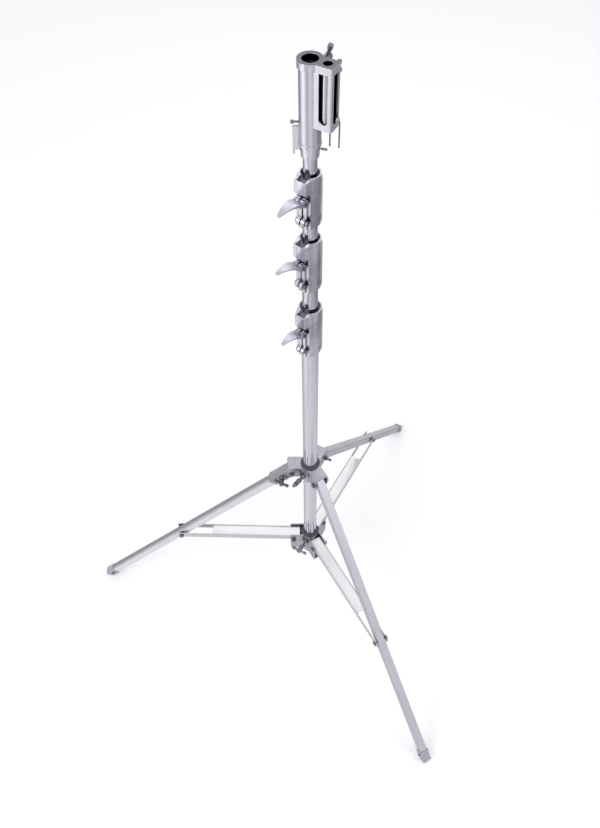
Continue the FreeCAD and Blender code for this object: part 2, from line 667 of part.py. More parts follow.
def brace_channel(azimuth):
    """A folded channel, open downwards. Its outer end is a fork that straddles the leg."""
    x0 = -BRACE_INNER_OVERHANG
    x1 = BRACE_LENGTH + BRACE_OUTER_OVERHANG
    shell = box(x0, x1, -BRACE_HALF, BRACE_HALF, BRACE_BOTTOM, BRACE_TOP)
    fold_edges = [e for e in shell.Edges if abs(e.tangentAt(e.FirstParameter).x) > 0.99]
    fold_edges = [e for e in fold_edges if e.CenterOfMass.z > 0]
    shell = shell.makeFillet(BRACE_FOLD_R, fold_edges)
    end_edges = [e for e in shell.Edges if abs(e.tangentAt(e.FirstParameter).y) > 0.99]
    end_edges = [e for e in end_edges if e.CenterOfMass.z < 0 and e.Length > BRACE_HALF]
    shell = shell.makeFillet(BRACE_CORNER_R, end_edges)
    inner_half = BRACE_HALF - BRACE_WALL
    hollow = box(x0 - 1, x1 + 1, -inner_half, inner_half, BRACE_BOTTOM - 1, BRACE_TOP - BRACE_WALL)
    web_start = BRACE_LENGTH - BRACE_WEB_CUT
    fork = box(web_start, x1 + 1, -inner_half, inner_half, BRACE_BOTTOM - 1, BRACE_TOP + 1)
    cuts = [
        hollow,
        fork,
        cross_rod(0, 0, PIVOT_BOLT_R + SLIDE_GAP, -30, 30),
        cross_rod(BRACE_LENGTH, 0, PIVOT_BOLT_R, -30, 30),
    ]
    return on_brace(drilled(shell, cuts), azimuth)


def brace_stub_bolts(azimuth):
    """Two short bolts, one in each fork side, whose ends face the leg's sides."""
    solids = []
    for side in (-1, 1):
        tip = LEG_HALF + 0.5
        shank = cross_rod(BRACE_LENGTH, 0, PIVOT_BOLT_R, side * tip, side * BRACE_HALF)
        y0, y1 = sorted((side * BRACE_HALF, side * (BRACE_HALF + 5)))
        solids.append(joined([shank, cross_hex(BRACE_LENGTH, 0, 13.0, y0, y1)]))
    return on_brace(Part.makeCompound(solids), azimuth)


# ---- head ----
def junior_socket():
    """The main receiver tube with its step ring, funnel, hook fin and screw boss."""
    plate_z = HEAD_TOP - TOP_PLATE
    barrel = upright(SOCKET_R, STEP_RING_TOP_Z - 2, plate_z)
    step = upright(STEP_RING_R, FUNNEL_TOP_Z, STEP_RING_TOP_Z)
    funnel_height = FUNNEL_TOP_Z - SOCKET_BASE_Z
    funnel = Part.makeCone(FUNNEL_BOTTOM_R, FUNNEL_TOP_R, funnel_height, vec(0, 0, SOCKET_BASE_Z))
    fin = box(SOCKET_R - 4, FIN_REACH, -FIN_HALF, FIN_HALF, FIN_BOTTOM_Z, FIN_TOP_Z)
    hook = box(HOOK_BACK, FIN_REACH, -FIN_HALF, FIN_HALF, HOOK_BOTTOM_Z, FIN_BOTTOM_Z + 1)
    boss = cross_rod(0, SOCKET_SCREW_Z, SOCKET_BOSS_R, JUNIOR_R, SOCKET_BOSS_END)
    screw_hole = cross_rod(0, SOCKET_SCREW_Z, HUB_SCREW_R + SLIDE_GAP, 5, SOCKET_BOSS_END + 1)
    pieces = [barrel, step, funnel, turned(fin, 180), turned(hook, 180), turned(boss, BRACKET_AZIMUTH)]
    cuts = [
        upright(JUNIOR_R, SOCKET_FLOOR_Z, plate_z + 1),
        upright(RISER_TOP[0], SOCKET_BASE_Z - 1, RISER_TOP[3]),
        turned(screw_hole, BRACKET_AZIMUTH),
    ]
    return drilled(joined(pieces), cuts)


def head_top_plate():
    """One plate: a ring round the main bore and a lug over the bracket."""
    z0 = HEAD_TOP - TOP_PLATE
    ring = upright(TOP_RING_R, z0, HEAD_TOP)
    lug = box(0, BRACKET_REACH, -BRACKET_HALF, BRACKET_HALF, z0, HEAD_TOP)
    corners = [e for e in lug.Edges if abs(e.tangentAt(e.FirstParameter).z) > 0.99]
    corners = [e for e in corners if e.CenterOfMass.x > BABY_AT]
    lug = lug.makeFillet(BRACKET_CORNER_R, corners)
    cuts = [
        upright(JUNIOR_R, z0 - 1, HEAD_TOP + 1),
        Part.makeCylinder(BABY_R, TOP_PLATE + 2, vec(BABY_AT, 0, z0 - 1)),
    ]
    return turned(drilled(joined([ring, lug]), cuts), BRACKET_AZIMUTH)


def window_cut(z1):
    """A tall window cut through a wall along +X: round at the bottom, open at the top."""
    z0 = WINDOW_BOTTOM_Z + WINDOW_HALF
    depth = 4 * BRACKET_WALL
    block = box(0, depth, -WINDOW_HALF, WINDOW_HALF, z0, z1 + 1)
    return joined([block, rod(vec(0, 0, z0), vec(depth, 0, z0), WINDOW_HALF)])


def baby_bracket():
    """A windowed box beside the main tube, which holds the 16 mm socket's tube."""
    z1 = HEAD_TOP - TOP_PLATE
    outer = box(BRACKET_START, BRACKET_REACH, -BRACKET_HALF, BRACKET_HALF, BRACKET_BOTTOM_Z, z1)
    corners = [e for e in outer.Edges if abs(e.tangentAt(e.FirstParameter).z) > 0.99]
    corners = [e for e in corners if e.CenterOfMass.x > BABY_AT]
    outer = outer.makeFillet(BRACKET_CORNER_R, corners)
    boss = cross_rod(BABY_AT, BABY_SCREW_Z, BABY_BOSS_R, BRACKET_HALF - 1, BABY_BOSS_END)
    inner_half = BRACKET_HALF - BRACKET_WALL
    cavity_z = BRACKET_BOTTOM_Z + BRACKET_FLOOR
    front_window = turned(window_cut(z1), -90)
    cuts = [
        upright(SOCKET_R, BRACKET_BOTTOM_Z - 1, z1 + 1),
        box(BRACKET_START, BRACKET_REACH - BRACKET_WALL, -inner_half, inner_half, cavity_z, z1 + 1),
        moved(front_window, BABY_AT, 2 - inner_half, 0),
        moved(window_cut(z1), BRACKET_REACH - BRACKET_WALL - 2, 0, 0),
        Part.makeCylinder(BABY_TUBE_R, 30, vec(BABY_AT, 0, BRACKET_BOTTOM_Z + BRACKET_WALL)),
        cross_rod(BABY_AT, BABY_SCREW_Z, PIN_R + SLIDE_GAP, 10, 40),
        cross_rod(BAIL_AT, BAIL_Z, PIN_R, inner_half, 40),
    ]
    return turned(drilled(joined([outer, boss]), cuts), BRACKET_AZIMUTH)


def baby_socket_tube():
    z0 = BRACKET_BOTTOM_Z + BRACKET_WALL
    z1 = HEAD_TOP - TOP_PLATE
    outer = Part.makeCylinder(BABY_TUBE_R, z1 - z0, vec(BABY_AT, 0, z0))
    bore = Part.makeCylinder(BABY_R, z1 - z0, vec(BABY_AT, 0, z0 + BRACKET_WALL))
    screw_hole = cross_rod(BABY_AT, BABY_SCREW_Z, PIN_R + SLIDE_GAP, 0, 20)
    return turned(drilled(outer, [bore, screw_hole]), BRACKET_AZIMUTH)


def head_screw(at_x, z, tip, handle_y, bar_y, shank_r, bar_half, scale, tilt):
    """A T-screw whose bar is fixed in its boss, pointing away from the bracket's back."""
    shape = joined([t_screw(tip, handle_y, bar_y, shank_r), t_bar(bar_y, bar_half, scale)])
    shape.rotate(ORIGIN, AXIS_X, tilt)
    shape.rotate(ORIGIN, AXIS_Z, 90)
    return turned(moved(shape, at_x, 0, z), BRACKET_AZIMUTH)


def head_fasteners():
    """A ball stud above the fin, a peg in the base and the bail's shoulder screw."""
    stud = rod(vec(SOCKET_R, 0, BALL_STUD_Z), vec(FIN_REACH - 2, 0, BALL_STUD_Z), 2.0)
    ball = Part.makeSphere(BALL_R, vec(FIN_REACH, 0, BALL_STUD_Z))
    peg = rod(vec(19.4, 0, PEG_Z), vec(31.0, 0, PEG_Z), PEG_R)
    wall_y = BRACKET_HALF - BRACKET_WALL
    head_y = BRACKET_HALF + BAIL_SCREW_STAND_OFF
    bail_shank = cross_rod(BAIL_AT, BAIL_Z, PIN_R, wall_y, head_y)
    bail_head = cross_rod(BAIL_AT, BAIL_Z, 1.8 * PIN_R, head_y, head_y + PIN_R)
    solids = [
        turned(joined([stud, ball]), 180),
        turned(peg, PEG_AZIMUTH),
        turned(joined([bail_shank, bail_head]), BRACKET_AZIMUTH),
    ]
    return Part.makeCompound(solids)


def bail_wire():
    """A hairpin of round wire: a half loop over the shoulder screw and two hanging legs."""
    y = BRACKET_HALF + BAIL_SCREW_STAND_OFF / 2
    loop_r = BAIL_HALF_SPACING
    centre = vec(BAIL_AT, y, BAIL_Z - loop_r + PIN_R + BAIL_WIRE_R + BODY_GAP)
    left = centre + vec(-loop_r, 0, 0)
    right = centre + vec(loop_r, 0, 0)
    top = centre + vec(0, 0, loop_r)
    arc = Part.Arc(left, top, right).toShape()
    drop = vec(0, 0, -BAIL_DROP)
    path = Part.Wire([Part.LineSegment(left + drop, left).toShape(), arc,
                      Part.LineSegment(right, right + drop * BAIL_SHORT_LEG).toShape()])
    profile = Part.Wire([Part.Circle(left + drop, AXIS_Z, BAIL_WIRE_R).toShape()])
    wire = path.makePipeShell([profile], True, True)
    return turned(wire, BRACKET_AZIMUTH)


# ---- assembly ----
def collar_nodes(prefix, spec, outer, inner):
    outer_r = outer[0]
    inner_r = inner[0]
    return {
        prefix + "_body": collar_body(spec, outer_r),
        prefix + "_bush": collar_bush(spec, outer_r, inner_r),
        prefix + "_lever_pin": collar_pin(spec, outer_r),
        prefix + "_fasteners": collar_fasteners(spec, outer_r),
        prefix + "_lever": collar_lever(spec, outer_r),
    }


def leg_nodes(name, azimuth):
    levelling = name == "left"
    overhang = LEVELLING_OVERHANG if levelling else LEG_TOP_OVERHANG
    return {
        "leg_" + name + "_tube": leg_tube(azimuth, overhang, not levelling),
        "leg_" + name + "_foot": leg_foot(azimuth),
        "leg_" + name + "_foot_bolt": leg_foot_bolt(azimuth),
        "brace_" + name + "_channel": brace_channel(azimuth),
        "brace_" + name + "_stub_bolts": brace_stub_bolts(azimuth),
    }


def all_nodes():
    nodes = {
        "column_tube": tube(COLUMN),
        "column_end_plug": column_end_plug(),
        "riser_lower_tube": tube(RISER_LOWER),
        "riser_lower_guide": guide(RISER_LOWER, COLUMN),
        "riser_middle_tube": tube(RISER_MIDDLE),
        "riser_middle_guide": guide(RISER_MIDDLE, RISER_LOWER),
        "riser_top_tube": tube(RISER_TOP),
        "riser_top_guide": guide(RISER_TOP, RISER_MIDDLE),
        "upper_hub": upper_hub(),
        "upper_hub_bush": upper_hub_bush(),
        "leg_pivot_bolts": leg_pivot_bolts(),
        "lower_hub": lower_hub(),
        "brace_pivot_bolts": brace_pivot_bolts(),
        "levelling_sleeve": levelling_sleeve(LEG_AZIMUTHS["left"]),
        "junior_socket": junior_socket(),
        "head_top_plate": head_top_plate(),
        "baby_bracket": baby_bracket(),
        "baby_socket_tube": baby_socket_tube(),
        "head_fasteners": head_fasteners(),
        "bail_wire": bail_wire(),
        "socket_t_screw": head_screw(0, SOCKET_SCREW_Z, JUNIOR_R + BODY_GAP, 33.0, 58.0,
                                     HUB_SCREW_R, 20.0, 0.95, SOCKET_BAR_TILT),
        "baby_t_screw": head_screw(BABY_AT, BABY_SCREW_Z, BABY_R + BODY_GAP, 25.0, 36.0,
                                   PIN_R, 15.0, 0.75, BABY_BAR_TILT),
    }
    nodes["hub_lock_screw"], nodes["hub_lock_bar"] = hub_screw(UPPER_SCREW, HUB_BUSH_R + BODY_GAP)
    nodes["lower_hub_screw"], nodes["lower_hub_bar"] = hub_screw(LOWER_SCREW, COLUMN[0] + BODY_GAP)
    nodes["levelling_screw"], nodes["levelling_bar"] = levelling_screw(LEG_AZIMUTHS["left"])
    nodes.update(collar_nodes("lower_collar", LOWER_COLLAR, COLUMN, RISER_LOWER))
    nodes.update(collar_nodes("middle_collar", MIDDLE_COLLAR, RISER_LOWER, RISER_MIDDLE))
    nodes.update(collar_nodes("upper_collar", UPPER_COLLAR, RISER_MIDDLE, RISER_TOP))
    for name, azimuth in LEG_AZIMUTHS.items():
        nodes.update(leg_nodes(name, azimuth))
    return nodes


os.makedirs("parts", exist_ok=True)
for node, shape in all_nodes().items():
    shape.exportStep("parts/" + node + ".step")
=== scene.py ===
import json
import math

import bmesh
import bpy
from mathutils import Matrix, Vector


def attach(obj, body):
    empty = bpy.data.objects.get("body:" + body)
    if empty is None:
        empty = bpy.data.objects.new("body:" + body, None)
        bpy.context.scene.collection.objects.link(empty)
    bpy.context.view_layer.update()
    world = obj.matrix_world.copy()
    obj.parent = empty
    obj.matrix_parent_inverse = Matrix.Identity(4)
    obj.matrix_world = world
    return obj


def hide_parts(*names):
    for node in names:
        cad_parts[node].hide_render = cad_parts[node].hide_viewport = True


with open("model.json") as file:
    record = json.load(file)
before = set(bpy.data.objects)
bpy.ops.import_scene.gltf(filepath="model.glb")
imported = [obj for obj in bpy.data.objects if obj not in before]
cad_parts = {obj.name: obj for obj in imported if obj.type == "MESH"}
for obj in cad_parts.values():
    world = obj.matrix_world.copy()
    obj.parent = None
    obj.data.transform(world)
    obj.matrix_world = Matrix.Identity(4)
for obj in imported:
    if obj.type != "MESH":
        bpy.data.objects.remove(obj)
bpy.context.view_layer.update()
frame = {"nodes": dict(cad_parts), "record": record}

MM = 0.001
NODES = frame["nodes"]
RECORD = frame["record"]
BODY_OF = {n: b for b, members in RECORD["behaviour"]["bodies"].items() for n in members}
SLOT_OF = {s["node"]: s["material_slot"] for s in RECORD["subparts"]}
LEGS = {"left": 180.0, "rear": 60.0, "front": -60.0}
LEG_PIVOT_R = 55.0
LEG_PIVOT_Z = 757.0
BRACE_PIVOT_R = 56.0
BRACE_PIVOT_Z = 330.0
LEG_DROP = 745.0
LEG_SPREAD = 695.0
BRACE_RISE = 19.0
BRACE_RUN = 379.6
LEG_PITCH = math.degrees(math.atan2(LEG_DROP, LEG_SPREAD))
BRACE_PITCH = -math.degrees(math.atan2(BRACE_RISE, BRACE_RUN))
HEAD_AZIMUTH = -29.0


# ---------------------------------------------------------------- shader helpers
# How far a rounded normal has turned, as its cosine with the real one, where edge wear and painted edge
# shade start and are full.
WORN_EDGE = (0.995, 0.90)
SHADED_EDGE = (0.999, 0.93)
BEVEL_SAMPLES = 4
OCCLUSION_SAMPLES = 6
MOULDED_EDGE_R = 0.0008
MEMBER_EDGE_R = 0.0013
SHADE_BAND_WANDER = 0.0012
BUMP_GRAIN = 0.0004
BUMP_CAST = 0.0006
BUMP_PEBBLE = 0.0003


class Nodes:
    """A small helper that adds and links shader nodes."""

    def __init__(self, tree):
        self.tree = tree

    def add(self, kind, **settings):
        node = self.tree.nodes.new(kind)
        for key, value in settings.items():
            setattr(node, key, value)
        return node

    def link(self, output, target):
        self.tree.links.new(output, target)

    def math(self, operation, first, second):
        node = self.add("ShaderNodeMath", operation=operation)
        for socket, value in zip(node.inputs, (first, second)):
            if isinstance(value, (int, float)):
                socket.default_value = value
            else:
                self.link(value, socket)
        return node.outputs["Value"]


def new_material(name):
    material = bpy.data.materials.new(name)
    material.use_nodes = True
    material.node_tree.nodes.clear()
    return material, Nodes(material.node_tree)


def object_coordinates(nodes, rotation, scale):
    """Object coordinates turned so that a grain can run along one direction, then stretched."""
    coords = nodes.add("ShaderNodeTexCoord")
    turn = nodes.add("ShaderNodeMapping", vector_type="TEXTURE")
    turn.inputs["Rotation"].default_value = [math.radians(a) for a in rotation]
    stretch = nodes.add("ShaderNodeMapping")
    stretch.inputs["Scale"].default_value = scale
    nodes.link(coords.outputs["Object"], turn.inputs["Vector"])
    nodes.link(turn.outputs["Vector"], stretch.inputs["Vector"])
    return turn.outputs["Vector"], stretch.outputs["Vector"]


def noise(nodes, vector, scale, detail=4.0, roughness=0.55):
    texture = nodes.add("ShaderNodeTexNoise")
    texture.inputs["Scale"].default_value = scale
    texture.inputs["Detail"].default_value = detail
    texture.inputs["Roughness"].default_value = roughness
    nodes.link(vector, texture.inputs["Vector"])
    return texture.outputs["Fac"]


def ramp(nodes, factor, stops):
    """A colour ramp: stops are (position, colour) with the colour as (r, g, b)."""
    node = nodes.add("ShaderNodeValToRGB")
    elements = node.color_ramp.elements
    while len(elements) < len(stops):
        elements.new(0.5)
    for element, (position, colour) in zip(elements, stops):
        element.position = position
        element.color = (*colour, 1.0)
    nodes.link(factor, node.inputs["Fac"])
    return node.outputs["Color"]


def remap(nodes, value, low, high, start=0.25, end=0.75):
    node = nodes.add("ShaderNodeMapRange")
    node.inputs["From Min"].default_value = start
    node.inputs["From Max"].default_value = end
    node.inputs["To Min"].default_value = low
    node.inputs["To Max"].default_value = high
    nodes.link(value, node.inputs["Value"])
    return node.outputs["Result"]


def mix_colour(nodes, factor, first, second, blend="MIX"):
    node = nodes.add("ShaderNodeMix", data_type="RGBA", blend_type=blend)
    if isinstance(factor, float):
        node.inputs["Factor"].default_value = factor
    else:
        nodes.link(factor, node.inputs["Factor"])
    nodes.link(first, node.inputs["A"])
    nodes.link(second, node.inputs["B"])
    return node.outputs["Result"]


def edge_mask(nodes, radius, band=WORN_EDGE):
    """1 on edges and 0 elsewhere, for edge wear and painted edge shade: how far a rounded normal turns
    from the real one.
    """
    bevel = nodes.add("ShaderNodeBevel", samples=BEVEL_SAMPLES)
    bevel.inputs["Radius"].default_value = radius
    geometry = nodes.add("ShaderNodeNewGeometry")
    dot = nodes.add("ShaderNodeVectorMath", operation="DOT_PRODUCT")
    nodes.link(bevel.outputs["Normal"], dot.inputs[0])
    nodes.link(geometry.outputs["Normal"], dot.inputs[1])
    return bevel.outputs["Normal"], remap(nodes, dot.outputs["Value"], 0.0, 1.0, *band)


def painted_crevice_shade(nodes, distance, darkest):
    """A grey factor of painted shade: 1 in the open, darker where surfaces come close together, as
    ambient occlusion shades them.
    """
    occlusion = nodes.add("ShaderNodeAmbientOcclusion", samples=OCCLUSION_SAMPLES)
    occlusion.inputs["Distance"].default_value = distance
    return ramp(nodes, occlusion.outputs["AO"], [(0.22, [darkest] * 3), (0.80, [1.0] * 3)])


def fold_bands(nodes, vector, cloud, bands):
    """Painted light and shade across a rolled section, lighter and darker as light falls on its faces:
    bands are (distance from its middle line, tone) pairs.
    """
    split = nodes.add("ShaderNodeSeparateXYZ")
    nodes.link(vector, split.inputs["Vector"])
    across = nodes.math("ADD", split.outputs["Y"], remap(nodes, cloud, -SHADE_BAND_WANDER, SHADE_BAND_WANDER))
    first, last = bands[0][0], bands[-1][0]
    place = remap(nodes, across, 0.0, 1.0, first, last)
    return ramp(nodes, place, [((y - first) / (last - first), [tone] * 3) for y, tone in bands])


# ---------------------------------------------------------------- materials
def metal(name, colour, rough, grain_rotation=(0, 0, 0), grain_scale=(260.0, 260.0, 5.0),
          streak=0.10, grain_bump=0.04, cast_bump=0.0, tarnish=0.12, edge_radius=0.0006,
          grime=0.55, grime_distance=0.006, edge_tone=1.12, edge_band=WORN_EDGE, fold=None):
    """Bare or plated metal: grain, cloudy tarnish, fine bump, painted shade in corners, worn edges made
    brighter (on legs, braces and levers darker, as painted edge shade), and optional bands of painted
    light and shade across the face.
    """
    material, nodes = new_material(name)
    plain, stretched = object_coordinates(nodes, grain_rotation, grain_scale)
    grain = noise(nodes, stretched, 1.0, 3.0)
    cloud = noise(nodes, plain, 22.0, 5.0)
    fine = noise(nodes, plain, 900.0, 2.0)
    dark = [c * (1 - streak) for c in colour]
    light = [min(1.0, c * (1 + streak * 0.6)) for c in colour]
    base = ramp(nodes, grain, [(0.30, dark), (0.70, light)])
    stain = ramp(nodes, cloud, [(0.35, [1 - tarnish] * 3), (0.62, [1.0] * 3)])
    base = mix_colour(nodes, 1.0, base, stain, "MULTIPLY")
    round_normal, edges = edge_mask(nodes, edge_radius, edge_band)
    # edge colour: a tone above 1 brightens worn edges; below 1, as on legs, braces and levers, it
    # darkens them as painted edge shade
    bright = ramp(nodes, fine, [(0.0, [min(1.0, c * edge_tone * 0.96) for c in colour]),
                                (1.0, [min(1.0, c * edge_tone * 1.04) for c in colour])])
    base = mix_colour(nodes, edges, base, bright)
    # painted shade: ambient occlusion darkens the colour in corners and gaps between parts
    base = mix_colour(nodes, 1.0, base, painted_crevice_shade(nodes, grime_distance, grime), "MULTIPLY")
    # painted light and shade: bands across the member stand in for how light falls on its faces
    if fold:
        base = mix_colour(nodes, 1.0, base, fold_bands(nodes, plain, cloud, fold), "MULTIPLY")
    shader = nodes.add("ShaderNodeBsdfPrincipled")
    shader.inputs["Metallic"].default_value = 1.0
    nodes.link(base, shader.inputs["Base Color"])
    nodes.link(remap(nodes, cloud, rough * 0.8, rough * 1.25), shader.inputs["Roughness"])
    first = nodes.add("ShaderNodeBump")
    first.inputs["Strength"].default_value = grain_bump
    first.inputs["Distance"].default_value = BUMP_GRAIN
    nodes.link(grain, first.inputs["Height"])
    nodes.link(round_normal, first.inputs["Normal"])
    second = nodes.add("ShaderNodeBump")
    second.inputs["Strength"].default_value = cast_bump
    second.inputs["Distance"].default_value = BUMP_CAST
    nodes.link(fine, second.inputs["Height"])
    nodes.link(first.outputs["Normal"], second.inputs["Normal"])
    nodes.link(second.outputs["Normal"], shader.inputs["Normal"])
    output = nodes.add("ShaderNodeOutputMaterial")
    nodes.link(shader.outputs["BSDF"], output.inputs["Surface"])
    return material


def plastic(name, colour, rough, speckle=0.25):
    """Moulded plastic with a fine pebble grain, slight colour variation and scuffed edges."""
    material, nodes = new_material(name)
    plain, _ = object_coordinates(nodes, (0, 0, 0), (1, 1, 1))
    cloud = noise(nodes, plain, 40.0, 4.0)
    pebble = noise(nodes, plain, 1400.0, 2.0)
    dark = [c * (1 - speckle) for c in colour]
    light = [min(1.0, c * (1 + speckle)) for c in colour]
    base = ramp(nodes, cloud, [(0.3, dark), (0.7, light)])
    scuffed = ramp(nodes, pebble, [(0.3, [c * 1.3 + 0.03 for c in colour]),
                                   (0.7, [c * 1.6 + 0.06 for c in colour])])
    round_normal, edges = edge_mask(nodes, MOULDED_EDGE_R)
    base = mix_colour(nodes, edges, base, scuffed)
    shader = nodes.add("ShaderNodeBsdfPrincipled")
    nodes.link(base, shader.inputs["Base Color"])
    nodes.link(remap(nodes, pebble, rough * 0.85, rough * 1.15), shader.inputs["Roughness"])
    bump = nodes.add("ShaderNodeBump")
    bump.inputs["Strength"].default_value = 0.15
    bump.inputs["Distance"].default_value = BUMP_PEBBLE
    nodes.link(pebble, bump.inputs["Height"])
    nodes.link(round_normal, bump.inputs["Normal"])
    nodes.link(bump.outputs["Normal"], shader.inputs["Normal"])
    output = nodes.add("ShaderNodeOutputMaterial")
    nodes.link(shader.outputs["BSDF"], output.inputs["Surface"])
    return material


def member_metal(name, colour, rough, pitch, azimuth, **settings):
    """Metal whose grain runs along a leg or a brace: local Z turned into the member's line."""
    return metal(name, colour, rough, grain_rotation=(0, 90 + pitch, azimuth), **settings)


LILAC_CHROME = (0.74, 0.725, 0.795)
RISER_CHROME = (0.66, 0.65, 0.71)
SATIN_LILAC = (0.68, 0.665, 0.735)
ZINC_WHITE = (0.92, 0.92, 0.925)
CAST_GREY = (0.52, 0.505, 0.555)
COLLAR_GREY = (0.70, 0.685, 0.76)
DARK_ZINC = (0.25, 0.245, 0.29)

MATERIALS = {
    "tube_steel": metal("chromed_tube", LILAC_CHROME, 0.18, streak=0.06, tarnish=0.04, grime=0.35,
                        grime_distance=0.012),
    "riser_chrome": metal("riser_chrome", RISER_CHROME, 0.10, streak=0.08, tarnish=0.05, grime=0.35,
                          grime_distance=0.012),
    "hub_steel": metal("plated_casting", CAST_GREY, 0.30, streak=0.08, cast_bump=0.25, tarnish=0.25,
                       grime=0.22, grime_distance=0.014),
    "cast_collar": metal("collar_casting", COLLAR_GREY, 0.22, streak=0.30, cast_bump=0.18,
                         tarnish=0.22, grime=0.30, grime_distance=0.008,
                         grain_scale=(120.0, 120.0, 4.0)),
    # the lever's darker edges are painted edge shade
    "lever_alloy": metal("lever_alloy", (0.60, 0.59, 0.67), 0.34, streak=0.08, cast_bump=0.12,
                         grime=0.35, edge_tone=0.8),
    "head_chrome": metal("polished_chrome", (0.74, 0.725, 0.79), 0.06, streak=0.08, tarnish=0.06,
                         grime=0.05, grime_distance=0.030),
    "head_plate": metal("milled_plate", (0.21, 0.205, 0.235), 0.42, streak=0.10, tarnish=0.25),
    "dark_nylon": plastic("moulded_nylon", (0.24, 0.245, 0.30), 0.40),
    "hub_nylon": plastic("hub_nylon", (0.05, 0.052, 0.075), 0.34),
    "foot_plastic": plastic("moulded_foot", (0.36, 0.35, 0.40), 0.50, speckle=0.12),
    "fastener_steel": metal("zinc_fastener", DARK_ZINC, 0.28, streak=0.12, tarnish=0.30, grime=0.30,
                            grime_distance=0.004),
}
# the left leg's lighter base is painted light, a lit copy of the satin lilac the other legs have
LEG_LIT_TONES = {"left": (0.89, 0.875, 0.94), "rear": SATIN_LILAC, "front": SATIN_LILAC}
# Painted light and shade across each leg as (distance from the middle line, tone): the left leg's
# darker upper band and lighter lower band, the other legs' darker edges
LEG_PAINTED_SHADE = {
    "left": [(-0.0125, 0.55), (-0.009, 0.43), (-0.002, 0.43), (0.005, 0.62), (0.011, 0.94),
             (0.0125, 1.0)],
    "rear": [(-0.0125, 0.92), (-0.0085, 1.0), (0.0085, 1.0), (0.0125, 0.92)],
    "front": [(-0.0125, 0.92), (-0.0085, 1.0), (0.0085, 1.0), (0.0125, 0.92)],
}
# Painted shadow across each brace as (distance from the middle line, tone): darker bands at the edges
# where the channel's flanges lie in shade
BRACE_PAINTED_SHADE = {
    "left": [(-0.019, 0.34), (-0.015, 0.50), (-0.011, 1.0), (0.013, 1.0), (0.019, 0.74)],
    "rear": [(-0.019, 0.80), (-0.013, 1.0), (0.012, 1.0), (0.016, 0.60), (0.019, 0.45)],
    "front": [(-0.019, 0.80), (-0.013, 1.0), (0.012, 1.0), (0.016, 0.60), (0.019, 0.45)],
}
# One material per leg and per brace, each carrying its own painted light and shade
for leg_name, leg_azimuth in LEGS.items():
    MATERIALS["leg_steel_" + leg_name] = member_metal(
        "satin_leg_" + leg_name, LEG_LIT_TONES[leg_name], 0.28, LEG_PITCH, leg_azimuth, streak=0.08,
        tarnish=0.05, grime=0.5, edge_radius=MEMBER_EDGE_R, edge_tone=0.66, edge_band=SHADED_EDGE,
        fold=LEG_PAINTED_SHADE[leg_name])
    MATERIALS["brace_steel_" + leg_name] = member_metal(
        "zinc_brace_" + leg_name, ZINC_WHITE, 0.30, BRACE_PITCH, leg_azimuth, streak=0.04,
        tarnish=0.04, grime=0.6, edge_radius=MEMBER_EDGE_R, edge_tone=0.34, edge_band=SHADED_EDGE,
        fold=BRACE_PAINTED_SHADE[leg_name])


def material_for(node):
    slot = SLOT_OF[node]
    if slot in ("leg_steel", "brace_steel"):
        return MATERIALS[slot + "_" + node.split("_")[1]]
    if node.startswith("riser_") and node.endswith("_tube"):
        return MATERIALS["riser_chrome"]
    if node == "upper_hub_bush":
        return MATERIALS["hub_nylon"]
    if node == "head_top_plate":
        return MATERIALS["head_chrome"]
    return MATERIALS[slot]


def paint(piece, material):
    piece.data.materials.clear()
    piece.data.materials.append(material)


for node_name, node_object in NODES.items():
    paint(node_object, material_for(node_name))


# ---------------------------------------------------------------- mesh helpers
WELD = 2e-6
# Degrees: a flat face's triangles differ by less, and an edge that is rounded over turns by more.
FLAT_WITHIN = 0.6
EASED_FROM = 38.0
FACES_UP = 0.9


def new_object(name, mesh, body, materials):
    """Links a finished mesh, gives it its materials, and lets it ride on its body."""
    piece = bpy.data.objects.new(name, mesh)
    bpy.context.scene.collection.objects.link(piece)
    for material in materials:
        mesh.materials.append(material)
    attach(piece, body)
    return piece


def finish_mesh(name, work, smooth_angle=35.0):
    """Turns a bmesh into a mesh with smooth faces and sharp creases."""
    bmesh.ops.recalc_face_normals(work, faces=work.faces)
    mesh = bpy.data.meshes.new(name)
    work.to_mesh(mesh)
    work.free()
    mesh.shade_smooth()
    mesh.set_sharp_from_angle(angle=math.radians(smooth_angle))
    return mesh


